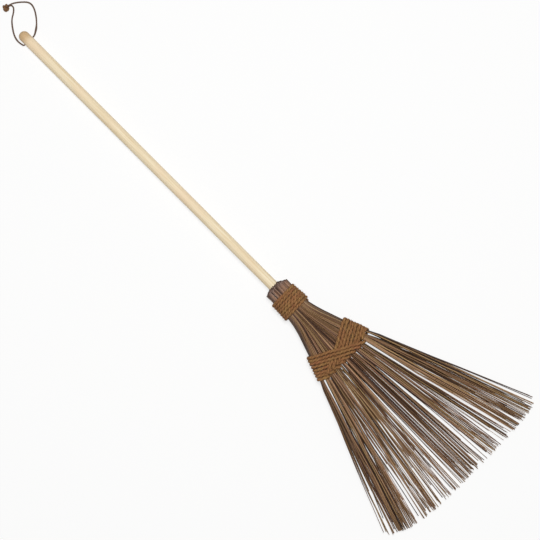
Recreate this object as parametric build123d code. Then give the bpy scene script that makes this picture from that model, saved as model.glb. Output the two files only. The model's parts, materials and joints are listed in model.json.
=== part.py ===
from build123d import *
import itertools
import math
import os

import numpy as np

# Garden broom lying on its back on the floor: a round wooden handle driven into a bound bundle of
# palm ribs (ekels), which a crossed lashing spreads into a flat fan. +X runs from the handle's domed
# end to the tips, +Z is up, and the origin is on the floor under the middle of the box.
# A station is a distance along the broom from the domed end. All sizes are in millimetres.

# Handle
overall_length = 1400.0
handle_diameter = 24.0
handle_length = 915.0
handle_taper_length = 40.0
handle_tip_diameter = 8.0
handle_clearance = 0.3

# Hanging cord and its knot
cord_diameter = 2.6
cord_hole_station = 27.0
cord_hole_clearance = 0.4
cord_bend_share = 0.45
cord_bend_step = 10.0
knot_diameter = 13.0
knot_waist_diameter = 10.0
knot_wraps = 3
knot_wrap_width = 4.4
knot_sides = 10

# Coir rope, and the binding round the neck
rope_diameter = 6.0
rope_sides = 6
rope_clearance = 0.4
rope_flat = 0.6
turn_gap = 0.5
binding_station = 820.0
binding_turns = 7
binding_start_angle = -40.0
binding_bend_step = 15.0

# Bundle of ekels at the neck and at its domed rim
neck_start_diameter = 54.4
neck_end_diameter = 60.4
neck_margin = 3.0
rim_station = 801.0
rim_diameter = 59.0
rim_dome = 8.0
bundle_gap = 0.2
ekel_cover = 0.4
ekel_root = 8.0

# Fan
lashing_station = 1012.0
fan_width_at_lashing = 158.0
fan_thickness_at_lashing = 30.0
fan_edge_thickness = 22.0
fan_width_at_tips = 458.0
fan_thickness_at_tips = 22.0
tip_drop = 36.0
tip_ragged = 9.0
tip_gather = 0.86
tip_flat = 0.5

# Ekels: three-sided strands in upright columns, and the bundles that the lashing parts them into
ekel_at_neck = 1.7
ekel_at_lashing = 1.45
ekel_at_tip = 1.0
column_pitch = 2.1
layer_pitch = 2.8
inner_bundles = 7
inner_columns = 2
outer_columns = 6
bundle_width = 6.4

# Crossed lashing
dive_clearance = 1.3
edge_clearance = 0.8
strand_gap = 1.1
layer_gap = 0.6
lashing_floor_gap = 3.0
edge_turn_radius = 10.0
climb_radius = 20.0
lashing_bend_step = 30.0
tail_reach = 14.0

GOLDEN_STEP = 0.618034

handle_radius = handle_diameter / 2
rope_radius = rope_diameter / 2
binding_pitch = rope_diameter + turn_gap
binding_end = binding_station + binding_turns * binding_pitch + rope_diameter
neck_start = binding_station - neck_margin
neck_end = binding_end + neck_margin


def share(value, start, end):
    """How far a value lies from start to end, as 0 to 1."""
    return (value - start) / (end - start)


def between(first, last, part):
    """The value that lies a part of the way from first to last."""
    return first + (last - first) * part


# Slope of the handle: its domed end and the last turn of the binding both lie on the floor


def neck_radius(station):
    part = share(station, neck_start, neck_end)
    return between(neck_start_diameter, neck_end_diameter, part) / 2


def binding_radius(station):
    return neck_radius(station) + rope_clearance + rope_radius


last_turn_share = (binding_start_angle + 90) / 360
lowest_turn_station = binding_station + rope_radius + binding_pitch * (binding_turns - last_turn_share)
lowest_turn_height = binding_radius(lowest_turn_station) + rope_radius - rope_flat
handle_slope = math.asin((lowest_turn_height - handle_radius) / (lowest_turn_station - handle_radius))


def on_handle(station, y, z):
    """Point at a station of the sloping handle, y and z across its axis."""
    along = station - handle_radius
    return Vector(
        -overall_length / 2 + handle_radius + along * math.cos(handle_slope) - z * math.sin(handle_slope),
        y,
        handle_radius + along * math.sin(handle_slope) + z * math.cos(handle_slope),
    )


handle_frame = Plane(
    origin=on_handle(0, 0, 0),
    x_dir=(math.cos(handle_slope), 0, math.sin(handle_slope)),
    z_dir=(-math.sin(handle_slope), 0, math.cos(handle_slope)),
)


# Middle plane and thickness of the fan

lashing_stack = rope_clearance + 2 * rope_diameter + layer_gap
fan_height_at_neck = on_handle(neck_end, 0, 0).Z
fan_height_at_lashing = fan_thickness_at_lashing / 2 + lashing_stack + lashing_floor_gap
fan_height_at_tips = fan_thickness_at_tips / 2 - tip_flat


def fan_height(station):
    """Height of the fan's middle plane, which falls from the neck to the tips."""
    if station < lashing_station:
        part = share(station, neck_end, lashing_station)
        return between(fan_height_at_neck, fan_height_at_lashing, part)
    part = share(station, lashing_station, overall_length)
    return between(fan_height_at_lashing, fan_height_at_tips, part)


def fan_half_thickness(station):
    """Half the thickness of the fan, which flattens from the neck to the lashing."""
    part = min(1, share(station, neck_end, lashing_station))
    return between(neck_end_diameter, fan_thickness_at_lashing, part) / 2


def fan_point(station, y, offset):
    """Point at a station and a Y of the fan, an offset above its middle plane."""
    return Vector(station - overall_length / 2, y, fan_height(station) + offset)


# Ropes and cords


def stepped(path, bend_step):
    """Points of a path: the ends of its runs, and steps of an angle round its bends."""
    points = [path @ 0]
    for edge in path.edges():
        steps = max(1, round((edge % 0).get_angle(edge % 1) / bend_step))
        points += [edge @ (step / steps) for step in range(1, steps + 1)]
    return np.array([tuple(point) for point in points])


def flat_face(corners):
    return Face(Wire.make_polygon([Vector(*corner) for corner in corners]))


def flat_sided_tube(path, diameter, bend_step):
    """A cord of flat sides: its corners run straight on to the plane that halves each step of a bend."""
    points = stepped(path, bend_step)
    runs = np.diff(points, axis=0)
    runs /= np.linalg.norm(runs, axis=1, keepdims=True)
    first = Plane(origin=path @ 0, z_dir=Vector(*runs[0])) * RegularPolygon(diameter / 2, rope_sides)
    corners = np.array([tuple(vertex) for vertex in first.vertices()])
    sections = [corners]
    for point, run, next_run in zip(points[1:], runs, [*runs[1:], runs[-1]]):
        halfway = run + next_run
        corners = corners + np.outer((point - corners) @ halfway / (run @ halfway), run)
        sections.append(corners)
    faces = [flat_face(sections[0]), flat_face(sections[-1])]
    for ring, next_ring in zip(sections, sections[1:]):
        for side in range(rope_sides):
            faces.append(flat_face([ring[side - 1], ring[side], next_ring[side], next_ring[side - 1]]))
    return Solid(Shell(faces))


def least_gap(path, diameter):
    """Least gap of a tube to itself, on points a fifth of a diameter apart, past its own bends."""
    count = int(path.length / (diameter / 5))
    points = np.array([tuple(path @ (i / count)) for i in range(count + 1)])
    order = np.arange(count + 1) * path.length / count
    nearest = np.inf
    for point, place in zip(points, order):
        far = np.abs(order - place) > 3 * diameter
        if far.any():
            nearest = min(nearest, np.linalg.norm(points[far] - point, axis=1).min())
    return nearest - diameter


def biarc(start, start_way, end, end_way):
    """Two tangent arcs that leave start along start_way and reach end along end_way."""
    chord = end - start
    both = start_way + end_way
    turn = 2 * (1 - start_way.dot(end_way))
    along = chord.dot(both)
    reach = (math.sqrt(along**2 + turn * chord.dot(chord)) - along) / turn
    near = start + start_way * reach
    far = end - end_way * reach
    middle = (near + far) / 2
    first = TangentArc(start, middle, tangent=start_way)
    second = TangentArc(middle, end, tangent=far - near)
    return [first, second]


floor_block = Pos(0, 0, -overall_length / 4) * Box(2 * overall_length, overall_length, overall_length / 2)


# Handle


def make_handle():
    """Round handle with a domed end, a tapered end inside the bundle and a hole for the cord."""
    taper_start = handle_length - handle_taper_length
    tip_radius = handle_tip_diameter / 2
    outline = [
        CenterArc((handle_radius, 0), handle_radius, 90, 90),
        Line((handle_radius, handle_radius), (taper_start, handle_radius)),
        Line((taper_start, handle_radius), (handle_length, tip_radius)),
        Line((handle_length, tip_radius), (handle_length, 0)),
        Line((handle_length, 0), (0, 0)),
    ]
    stick = revolve(make_face(outline), Axis.X)
    hole_radius = cord_diameter / 2 + cord_hole_clearance
    hole = Rot(90, 0, 0) * Cylinder(hole_radius, 2 * handle_diameter)
    return handle_frame * (stick - Pos(cord_hole_station, 0, 0) * hole)


# Binding


def make_binding():
    """Rope wound round the neck, with a flat where its last turn lies on the floor."""
    rise = binding_pitch / (2 * math.pi)
    flare = (neck_radius(neck_end) - neck_radius(neck_start)) / (neck_end - neck_start) * rise
    places = []
    ways = []
    for quarter in range(4 * binding_turns + 1):
        angle = math.radians(binding_start_angle + 90 * quarter)
        station = binding_station + rope_radius + binding_pitch * quarter / 4
        radius = binding_radius(station)
        across = Vector(0, math.cos(angle), math.sin(angle))
        around = Vector(0, -math.sin(angle), math.cos(angle))
        places.append(across * radius + Vector(station, 0, 0))
        ways.append((Vector(rise, 0, 0) + across * flare + around * radius).normalized())
    edges = [Line(places[0] - ways[0] * rope_diameter, places[0])]
    for i in range(len(places) - 1):
        edges += biarc(places[i], ways[i], places[i + 1], ways[i + 1])
    edges.append(Line(places[-1], places[-1] + ways[-1] * rope_diameter))
    path = Wire(edges)
    print("binding: length", round(path.length, 1), "least gap", round(least_gap(path, rope_diameter), 2))
    rope = flat_sided_tube(path, rope_diameter, binding_bend_step)
    return handle_frame * rope - floor_block


# Ekels: upright columns across the fan, at the neck, at the lashing and at the tips

bundles = inner_bundles + 2
middle_bundle = (bundles - 1) / 2
channel_width = rope_diameter + 2 * dive_clearance
bundle_pitch = bundle_width + channel_width
inner_half = inner_bundles * inner_columns * column_pitch / 2
column_count = inner_bundles * inner_columns + 2 * outer_columns
tip_pitch = fan_width_at_tips / column_count
ekel_numbers = itertools.count()


def inner_bundle_columns(bundle):
    """Columns of a bundle between two channels, as Y at the neck, the lashing and the tips."""
    centre = bundle - middle_bundle
    spots = np.linspace(-0.5, 0.5, inner_columns)
    neck = centre * inner_columns * column_pitch + spots * (inner_columns - 1) * column_pitch
    lashing = centre * bundle_pitch + spots * (bundle_width - ekel_at_lashing)
    tips = centre * inner_columns * tip_pitch + spots * (inner_columns - 1) * tip_pitch * tip_gather
    return zip(neck, lashing, tips)


def outer_bundle_columns(side):
    """Columns of the bundle at one edge of the fan, as Y at the neck, the lashing and the tips."""
    neck_edge = neck_radius(neck_end) - ekel_at_neck / 2
    step = (neck_edge - inner_half) / outer_columns
    neck = np.linspace(inner_half + step / 2, neck_edge - step / 2, outer_columns)
    inside = inner_bundles * bundle_pitch / 2 + channel_width / 2
    half_ekel = ekel_at_lashing / 2
    lashing = np.linspace(inside + half_ekel, fan_width_at_lashing / 2 - half_ekel, outer_columns)
    tip_edge = fan_width_at_tips / 2
    tips = tip_edge - tip_pitch * (np.arange(outer_columns)[::-1] + 0.5) * tip_gather
    return zip(side * neck, side * lashing, side * tips)


def bundle_columns(bundle):
    if bundle == 0:
        return list(outer_bundle_columns(-1))
    if bundle == bundles - 1:
        return list(outer_bundle_columns(1))
    return list(inner_bundle_columns(bundle))


def layer_heights(neck_y):
    """Heights of the ekels of one column at the neck, from the handle out to the binding."""
    half = ekel_at_neck / 2
    inner = handle_radius + handle_clearance + ekel_cover
    outer = neck_radius(neck_end) - ekel_cover
    inner_corner = max(0, abs(neck_y) - half)
    outer_corner = abs(neck_y) + half
    lowest = half + max(bundle_gap, math.sqrt(max(0, inner**2 - inner_corner**2)))
    highest = math.sqrt(outer**2 - outer_corner**2) - half
    count = 1 + int((highest - lowest) / layer_pitch)
    return np.linspace(lowest, highest, count)


def ekel_outline(centre, way, face, size):
    """Three-sided outline of an ekel across a way, one corner pointing out of the fan's face."""
    half = size / 2
    corners = Polygon((-half, -half), (half, -half), (0, half))
    return Plane(origin=centre, x_dir=(0, face, 0), z_dir=way) * corners


def make_ekel(column, layer, layers, neck_z, face, number):
    """One ekel: from inside the neck, by way of the lashing, to its tip."""
    neck_y, lashing_y, tip_y = column
    at_edge = abs(lashing_y) > fan_width_at_lashing / 2 - ekel_at_lashing
    thickness = fan_edge_thickness if at_edge else fan_thickness_at_lashing
    inner_z = (ekel_at_lashing + bundle_gap) / 2
    lashing_z = np.linspace(inner_z, (thickness - ekel_at_lashing) / 2, layers)[layer]
    inner_z = (ekel_at_tip + bundle_gap) / 2
    tip_z = np.linspace(inner_z, (fan_thickness_at_tips - ekel_at_tip) / 2, layers)[layer]

    scatter = (number * GOLDEN_STEP) % 1 - 0.5
    spread_y = tip_y + scatter * tip_pitch * tip_gather
    shorter = tip_drop * (2 * spread_y / fan_width_at_tips) ** 2
    tip_station = overall_length - shorter - tip_ragged * ((number * GOLDEN_STEP**2) % 1)
    tip_point = Vector(tip_station - overall_length / 2, spread_y, fan_height_at_tips + face * tip_z)

    root_point = on_handle(neck_end - ekel_root, neck_y, face * neck_z)
    neck_point = on_handle(neck_end, neck_y, face * neck_z)
    lashing_point = fan_point(lashing_station, lashing_y, face * lashing_z)
    sections = [
        ekel_outline(root_point, handle_frame.x_dir, face, ekel_at_neck),
        ekel_outline(neck_point, handle_frame.x_dir, face, ekel_at_neck),
        ekel_outline(lashing_point, Vector(1, 0, 0), face, ekel_at_lashing),
        ekel_outline(tip_point, Vector(1, 0, 0), face, ekel_at_tip),
    ]
    return loft(sections, ruled=True)


def make_neck_ring():
    """The bound part of the bundle, round the handle, with its domed rim, before it is sliced."""
    bore = handle_radius + handle_clearance
    dome_top = (rim_station - rim_dome, bore)
    rim_edge = (rim_station, rim_diameter / 2)
    waist = (neck_start, neck_radius(neck_start))
    end_edge = (neck_end, neck_radius(neck_end))
    outline = [
        TangentArc(dome_top, rim_edge, tangent=(0, 1)),
        Line(rim_edge, waist),
        Line(waist, end_edge),
        Line(end_edge, (neck_end, bore)),
        Line((neck_end, bore), dome_top),
    ]
    return revolve(make_face(outline), Axis.X)


def make_neck_slice(ring, bundle, face):
    """The slice of the neck that holds one bundle's ekels on one face of the broom."""
    slice_width = inner_columns * column_pitch
    centre = (bundle - middle_bundle) * slice_width
    low = centre - slice_width / 2
    high = centre + slice_width / 2
    if bundle == 0:
        low = -neck_end_diameter
    if bundle == bundles - 1:
        high = neck_end_diameter
    slab = Box(2 * neck_end, high - low - bundle_gap, neck_end_diameter)
    slab = Pos(0, (low + high) / 2, face * (neck_end_diameter + bundle_gap) / 2) * slab
    return handle_frame * (ring & slab)


def make_bundle(ring, bundle, face):
    """One bundle of ekels on one face, fused to its slice of the neck."""
    ekels = []
    for column in bundle_columns(bundle):
        heights = layer_heights(column[0])
        for layer, neck_z in enumerate(heights):
            ekel = make_ekel(column, layer, len(heights), neck_z, face, next(ekel_numbers))
            ekels.append(ekel.solid())
    solid = make_neck_slice(ring, bundle, face).fuse(Compound(ekels))
    return solid - floor_block if face < 0 else solid


# Crossed lashing: strands A run over strands B on both faces, and each dives through a channel

slant = math.asin((rope_diameter + strand_gap) / bundle_pitch)
station_rise = math.tan(slant)
row_b = lashing_station + rope_radius + rope_clearance
row_a = row_b + station_rise * bundle_pitch
strands = inner_bundles + 1
edge_column = bundle_columns(bundles - 1)[-1]
edge_at_neck = edge_column[0] + ekel_at_neck / 2
edge_slope = (fan_width_at_lashing / 2 - edge_at_neck) / (lashing_station - neck_end)
edge_reach = fan_width_at_lashing / 2 + edge_clearance + rope_radius


def channel_y(strand, row):
    """Y of the channel that a strand dives through. Channels open out towards the tips."""
    place = (strands - 1) / 2 - strand
    part = share(row, lashing_station, overall_length)
    return place * between(bundle_pitch, inner_columns * tip_pitch, part)


def edge_of_strand(row, strand, side):
    """How far out a strand that leaves its channel for one side goes round the fan's edge."""
    channel = side * channel_y(strand, row)
    return (edge_reach + edge_slope * (row - lashing_station + station_rise * channel)) / (
        1 + edge_slope * station_rise
    )


def strand_point(row, strand, side, reach, layer, face):
    """Point of a strand at a reach across the fan, on layer 0 or 1 of a face."""
    station = row - station_rise * (reach - side * channel_y(strand, row))
    level = fan_half_thickness(station) + rope_clearance + rope_radius
    level += layer * (rope_diameter + layer_gap)
    return fan_point(station, side * reach, face * level)


def edge_point(row, strand, side, face):
    return strand_point(row, strand, side, edge_of_strand(row, strand, side), 0, face)


def dive_point(row, strand, layer, face):
    return strand_point(row, strand, 1, channel_y(strand, row), layer, face)


def edge_turn():
    """Radius of the turn round the fan's edge, limited so that the rope clears the edge column's crest."""
    room_y = edge_reach - (fan_width_at_lashing - ekel_at_lashing) / 2
    room_z = (fan_thickness_at_lashing - fan_edge_thickness) / 2 + rope_clearance + rope_radius
    clear = rope_clearance + rope_radius
    spare = room_y + room_z - clear
    widest = spare + math.sqrt(spare**2 - room_y**2 - room_z**2 + clear**2)
    return min(edge_turn_radius, widest)


def make_lashing():
    """One rope: over the front, down a channel, across the back and round an edge, strand by strand."""
    over = rope_diameter + strand_gap
    route = []
    turns = []

    start_reach = edge_of_strand(row_b, strands, -1) - tail_reach
    route.append(strand_point(row_b, strands, -1, start_reach, 0, -1))
    for strand in reversed(range(strands)):
        climb = (strand + 1) * bundle_pitch / 2 + over
        settle = (strands - strand) * bundle_pitch / 2 + over
        route.append(edge_point(row_b, strand + 1, -1, -1))
        route.append(edge_point(row_a, strand, -1, 1))
        route.append(strand_point(row_a, strand, -1, climb, 1, 1))
        route.append(dive_point(row_a, strand, 1, 1))
        route.append(dive_point(row_a, strand, 1, -1))
        route.append(strand_point(row_a, strand, 1, settle, 1, -1))
        route.append(edge_point(row_a, strand, 1, -1))
        route.append(edge_point(row_b, strand, 1, 1))
        route.append(dive_point(row_b, strand, 0, 1))
        route.append(dive_point(row_b, strand, 0, -1))
        turns += [edge_turn(), edge_turn(), climb_radius, rope_diameter, rope_diameter]
        turns += [climb_radius, edge_turn(), edge_turn(), rope_diameter, rope_diameter]
    route.append(strand_point(row_b, 0, -1, tail_reach - channel_y(0, row_b), 0, -1))
    path = FilletPolyline(*route, radius=turns)
    print("lashing: length", round(path.length, 1), "least gap", round(least_gap(path, rope_diameter), 2))
    return flat_sided_tube(path, rope_diameter, lashing_bend_step)


# Hanging cord: points back from the hole, across and above the floor, from the hole to the knot

hole_centre = on_handle(cord_hole_station, 0, 0)
left_leg = [
    (0, -handle_radius - 2.5, hole_centre.Z),
    (6.3, -handle_radius - 4.5, 11.6),
    (18, -18.3, 8.4),
    (33, -15, 4.4),
    (50, -4.5, 1.9),
    (63.5, 7, 1.4),
    (71, 20.5, 1.4),
    (79.5, 29.5, 1.7),
    (88, 28, 3.2),
    (89, 20, 4.0),
]
right_leg = [
    (0, handle_radius + 3.5, hole_centre.Z),
    (3.5, handle_radius + 10.5, 11.6),
    (12, 35, 8.2),
    (28, 49.5, 3.8),
    (47, 60.8, 1.7),
    (62.5, 62, 1.4),
    (76, 49, 2.2),
    (85, 36.5, 5.0),
    (89.5, 25, 7.3),
    (90, 19, 7.7),
]
knot_place = (89, 15.8, 6.5)
knot_axis = Vector(0.25, 1, 0)


def beside_hole(back, side, height):
    return Vector(hole_centre.X - back, side, height)


def make_cord():
    """One cord through the hole, both legs lying on the floor and running into the knot."""
    points = [beside_hole(*place) for place in reversed(left_leg)]
    points += [beside_hole(*place) for place in right_leg]
    radii = []
    for before, corner, after in zip(points, points[1:], points[2:]):
        turn = math.radians((corner - before).get_angle(after - corner))
        shorter = min((corner - before).length, (after - corner).length)
        radii.append(cord_bend_share * shorter / math.tan(turn / 2))
    path = FilletPolyline(*points, radius=radii)
    solid = flat_sided_tube(path, cord_diameter, cord_bend_step)
    plain = RegularPolygon(cord_diameter / 2, rope_sides).area * path.length
    print("cord: length", round(path.length, 1), "volume share", round(solid.volume / plain, 4))
    print("cord radii", [round(radius, 1) for radius in radii])
    return solid


def make_knot(cord):
    """Lump of a stopper knot: wraps of the cord side by side, swelling between waists, round both legs."""
    frame = Plane(origin=beside_hole(*knot_place), z_dir=knot_axis)
    sections = []
    for place in range(2 * knot_wraps + 1):
        offset = (place - knot_wraps) * knot_wrap_width / 2
        diameter = knot_diameter if place % 2 else knot_waist_diameter
        sections.append(frame * Pos(0, 0, offset) * RegularPolygon(diameter / 2, knot_sides))
    return loft(sections, ruled=True) - cord - floor_block


os.makedirs("parts", exist_ok=True)
cord_solid = make_cord()
pieces = {
    "handle": make_handle(),
    "binding_rope": make_binding(),
    "lashing_rope": make_lashing(),
    "hanging_cord": cord_solid,
    "cord_knot": make_knot(cord_solid),
}
neck_ring = make_neck_ring()
for face_name, face_side in (("front", 1), ("back", -1)):
    for bundle_number in range(bundles):
        pieces[f"{face_name}_ekels_{bundle_number + 1}"] = make_bundle(neck_ring, bundle_number, face_side)
print("ekels", next(ekel_numbers), "handle slope", round(math.degrees(handle_slope), 2))
for name, solid in pieces.items():
    export_step(solid, f"parts/{name}.step")
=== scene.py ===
# %% [markdown]
# # A garden broom of palm ribs
# The broom lies flat and is seen from above: a wooden handle, a neck of palm ribs (ekels) bound with
# coir rope, and a crossed rope lashing that spreads the ribs into a flat fan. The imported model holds
# every size and place. This lesson gives it its looks: it keeps the handle, and puts twisted ropes, a
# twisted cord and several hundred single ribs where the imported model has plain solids.

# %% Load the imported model
import json
import math

import bpy
import numpy as np
from mathutils import Matrix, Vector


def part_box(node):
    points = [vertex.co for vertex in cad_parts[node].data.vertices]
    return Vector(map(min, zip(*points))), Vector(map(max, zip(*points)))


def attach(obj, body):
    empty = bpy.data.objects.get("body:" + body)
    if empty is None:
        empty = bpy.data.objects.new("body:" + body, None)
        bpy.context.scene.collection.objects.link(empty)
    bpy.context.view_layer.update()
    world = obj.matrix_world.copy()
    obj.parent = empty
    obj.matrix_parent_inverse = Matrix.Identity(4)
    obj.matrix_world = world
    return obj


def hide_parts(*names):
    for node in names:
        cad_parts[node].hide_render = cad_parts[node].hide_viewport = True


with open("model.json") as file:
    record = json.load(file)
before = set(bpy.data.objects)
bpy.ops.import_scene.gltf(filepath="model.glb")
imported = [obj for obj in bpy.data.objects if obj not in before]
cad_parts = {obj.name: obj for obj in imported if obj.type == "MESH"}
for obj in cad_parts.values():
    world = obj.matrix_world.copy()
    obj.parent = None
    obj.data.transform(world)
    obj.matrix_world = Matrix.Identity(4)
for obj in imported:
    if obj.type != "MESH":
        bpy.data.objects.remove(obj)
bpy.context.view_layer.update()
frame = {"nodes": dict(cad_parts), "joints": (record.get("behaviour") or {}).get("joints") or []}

# %% [markdown]
# ## From arrays to pieces
# Shapes are worked out in millimetres as whole numpy arrays, and one function turns an array into a
# mesh object in metres. Faces could be added one by one, but whole arrays are quicker, and the formula
# of each shape stays in plain sight.

# %% A piece from arrays
MM = 0.001


def add_piece(name, body, material, points, face_sets, attributes):
    """Mesh object from points in millimetres, none of them below the floor. Each face set is an array of
    corner numbers, one row a face. Faces with four corners get smooth shading, and others, such as the
    cut ends of a rope, stay flat."""
    mesh = bpy.data.meshes.new(name)
    above_floor = np.maximum(points, (-np.inf, -np.inf, 0))
    corners = np.concatenate([faces.ravel() for faces in face_sets])
    sizes = np.concatenate([np.full(len(faces), faces.shape[1]) for faces in face_sets])
    mesh.vertices.add(len(points))
    mesh.vertices.foreach_set("co", (above_floor * MM).astype(np.float32).ravel())
    mesh.loops.add(len(corners))
    mesh.loops.foreach_set("vertex_index", corners.astype(np.int32))
    mesh.polygons.add(len(sizes))
    mesh.polygons.foreach_set("loop_start", (np.cumsum(sizes) - sizes).astype(np.int32))
    mesh.polygons.foreach_set("use_smooth", sizes == 4)
    mesh.update(calc_edges=True)
    for label, values in attributes.items():
        kind, field = ("FLOAT", "value") if values.ndim == 1 else ("FLOAT_VECTOR", "vector")
        layer = mesh.attributes.new(label, kind, "POINT")
        layer.data.foreach_set(field, values.astype(np.float32).ravel())
    mesh.materials.append(material)
    piece = bpy.data.objects.new(name, mesh)
    bpy.context.scene.collection.objects.link(piece)
    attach(piece, body)
    return piece


print("one millimetre of an array is", MM, "m of a mesh")

# %% [markdown]
# ## Tubes along paths
# Cord, ropes, ribs and hairs are all long and thin. Curves with a round bevel could make them, but a
# rope's ring isn't round, and a rib has its own radius at every ring. So a path is an array of points,
# and rings of any radii are carried along it.

# %% Paths and tubes
def unit(vectors):
    """Vectors of length one, in the same directions."""
    return vectors / np.linalg.norm(vectors, axis=-1, keepdims=True)


def square_to(way, reference):
    """Two directions square to a path: the part of the reference that is square to the path, and the
    path's direction crossed with it."""
    first = unit(reference - np.sum(reference * way, axis=-1, keepdims=True) * way)
    return first, np.cross(way, first)


def tubes(paths, reference, radii):
    """Rings carried along paths, which have the shape (tubes, rings, 3); radii has (tubes, rings,
    sides). A ring's point is the path's point plus radius times (cos a first + sin a second), where
    first and second are square to the path."""
    count, rings, sides = radii.shape
    way = unit(np.gradient(paths, axis=1))
    first, second = square_to(way, np.asarray(reference, float))
    turn = 2 * np.pi * np.arange(sides) / sides
    ring = np.cos(turn)[:, None] * first[:, :, None] + np.sin(turn)[:, None] * second[:, :, None]
    points = paths[:, :, None] + radii[..., None] * ring
    number = np.arange(count * rings * sides).reshape(count, rings, sides)
    beside = np.roll(number, -1, axis=2)
    walls = np.stack([number[:, :-1], beside[:, :-1], beside[:, 1:], number[:, 1:]], axis=-1)
    ends = np.concatenate([number[:, 0, ::-1], number[:, -1]])
    return points.reshape(-1, 3), [walls.reshape(-1, 4), ends]


def length_along(paths):
    """Distance along a path, or along each of many, at each of its points."""
    steps = np.linalg.norm(np.diff(paths, axis=-2), axis=-1)
    return np.concatenate([np.zeros_like(steps[..., :1]), np.cumsum(steps, axis=-1)], axis=-1)


def straightened(along, radii, twist=0.0):
    """Place on a tube laid out straight and untwisted: the distance along it, then the radius times the
    cosine and the sine of the angle less the twist."""
    turn = 2 * np.pi * np.arange(radii.shape[-1]) / radii.shape[-1] - twist
    along = np.broadcast_to(along[..., None], radii.shape)
    return np.stack([along, radii * np.cos(turn), radii * np.sin(turn)], axis=-1).reshape(-1, 3)


print("length along a bent line", length_along(np.array([[0, 0, 0], [3, 4, 0], [3, 4, 2]])), "mm")

# %% [markdown]
# ## Camera
# The broom is seen from straight above through a long lens, lying from the upper left to the lower
# right. The broom itself could be turned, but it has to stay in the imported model's frame. So the camera
# looks down, and is turned about the vertical until the handle's line matches.

# %% Camera
VIEW_CENTRE = (64.1, 19.6)
VIEW_WIDTH = 1198.8
CAMERA_HEIGHT = 5000.0
SHARP_HEIGHT = 12.0
SENSOR = 36.0
PICTURE_TURN = math.radians(45.04)

camera = bpy.data.objects.new("camera", bpy.data.cameras.new("camera"))
bpy.context.scene.collection.objects.link(camera)
bpy.context.scene.camera = camera
camera.data.sensor_width = SENSOR
camera.data.lens = SENSOR * (CAMERA_HEIGHT - SHARP_HEIGHT) / VIEW_WIDTH
above = Matrix.Translation([size * MM for size in (*VIEW_CENTRE, CAMERA_HEIGHT)])
camera.matrix_world = above @ Matrix.Rotation(PICTURE_TURN, 4, "Z")
print("camera lens", round(camera.data.lens, 1), "mm")

# %% [markdown]
# ## Colours and material nodes
# Colours are written as they look on a screen, in sRGB hex, and one function turns them to the linear
# values that shaders add up. One more function adds a node with its settings and links, so that each
# material below reads from its first pattern to its shader.

# %% Node helpers
def linear(colour):
    """sRGB hex to linear RGBA: each channel divided by 12.92 when dark, else a power of 2.4."""
    channels = np.array([int(colour[i : i + 2], 16) for i in (1, 3, 5)]) / 255
    low = channels / 12.92
    high = ((channels + 0.055) / 1.055) ** 2.4
    return (*np.where(channels <= 0.04045, low, high), 1.0)


def add_node(tree, kind, inputs, stops=(), **settings):
    """Add a node. Each input is given a value, or a link where the value is another node's socket. The
    stops of a colour ramp are places and colours: the ramp's two own stops first, then new ones."""
    node = tree.nodes.new(kind)
    for name, value in settings.items():
        setattr(node, name, value)
    for socket, value in inputs.items():
        if isinstance(value, bpy.types.NodeSocket):
            tree.links.new(value, node.inputs[socket])
        else:
            node.inputs[socket].default_value = value
    for number, (position, colour) in enumerate(stops):
        ramp = node.color_ramp.elements
        stop = ramp[number] if number < 2 else ramp.new(position)
        stop.position = position
        stop.color = linear(colour)
    return node


def new_material(name):
    """An empty node material and its tree."""
    material = bpy.data.materials.new(name)
    material.use_nodes = True
    material.node_tree.nodes.clear()
    return material, material.node_tree


print("middle grey on a screen is", round(linear("#808080")[0], 3), "in linear light")

# %% [markdown]
# ## Floor
# The broom lies on a plain pale floor, as in a studio. A floor bright enough to be white would need light
# that bleaches the broom. So for the camera the floor is part plain diffuse and part glowing white: it
# reads as a white sweep and still keeps the broom's shadow.

# %% Floor
FLOOR_SIZE = 16.0
FLOOR_DROP = 0.0003
FLOOR_GLOW = 0.75


def seen_directly(tree):
    """One for rays from the camera, from gloss or through glass, and zero for light on a surface."""
    path = add_node(tree, "ShaderNodeLightPath", {})
    rays = [path.outputs[f"Is {kind} Ray"] for kind in ("Camera", "Glossy", "Transmission")]
    seen = add_node(tree, "ShaderNodeMath", {0: rays[0], 1: rays[1]}, operation="MAXIMUM")
    seen = add_node(tree, "ShaderNodeMath", {0: seen.outputs[0], 1: rays[2]}, operation="MAXIMUM")
    return seen.outputs[0]


floor_mesh = bpy.data.meshes.new("floor")
edge = FLOOR_SIZE / 2
corners = [(-edge, -edge), (edge, -edge), (edge, edge), (-edge, edge)]
floor_mesh.from_pydata([(x, y, -FLOOR_DROP) for x, y in corners], [], [(0, 1, 2, 3)])
floor = bpy.data.objects.new("floor", floor_mesh)
bpy.context.scene.collection.objects.link(floor)

# White painted board: an even matt white that takes a soft shadow.
floor_white, tree = new_material("painted_board_matt_white")
share = add_node(tree, "ShaderNodeMath", {0: seen_directly(tree), 1: FLOOR_GLOW}, operation="MULTIPLY")
board = add_node(tree, "ShaderNodeBsdfDiffuse", {"Color": linear("#F8F8F7")})
glow = add_node(tree, "ShaderNodeEmission", {"Strength": 1.0})
mixed = add_node(
    tree, "ShaderNodeMixShader", {0: share.outputs[0], 1: board.outputs[0], 2: glow.outputs[0]}
)
add_node(tree, "ShaderNodeOutputMaterial", {"Surface": mixed.outputs[0]})
floor_mesh.materials.append(floor_white)
print("floor", FLOOR_SIZE, "m wide")

# %% [markdown]
# ## Light
# Soft light comes from above. Lamps at the sides would brighten the handle's edges, but one wide lamp near
# the camera gives the round handle darker edges on both sides, and a dim world fills the shadows. The
# level is one at which a colour comes out about as it is written.

# %% World and lamp
WORLD_LEVEL = 0.2
LAMP_PLACE = (-0.3, 0.5, 4.4)
LAMP_SIZE = 1.0
LAMP_POWER = 165.0

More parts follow.
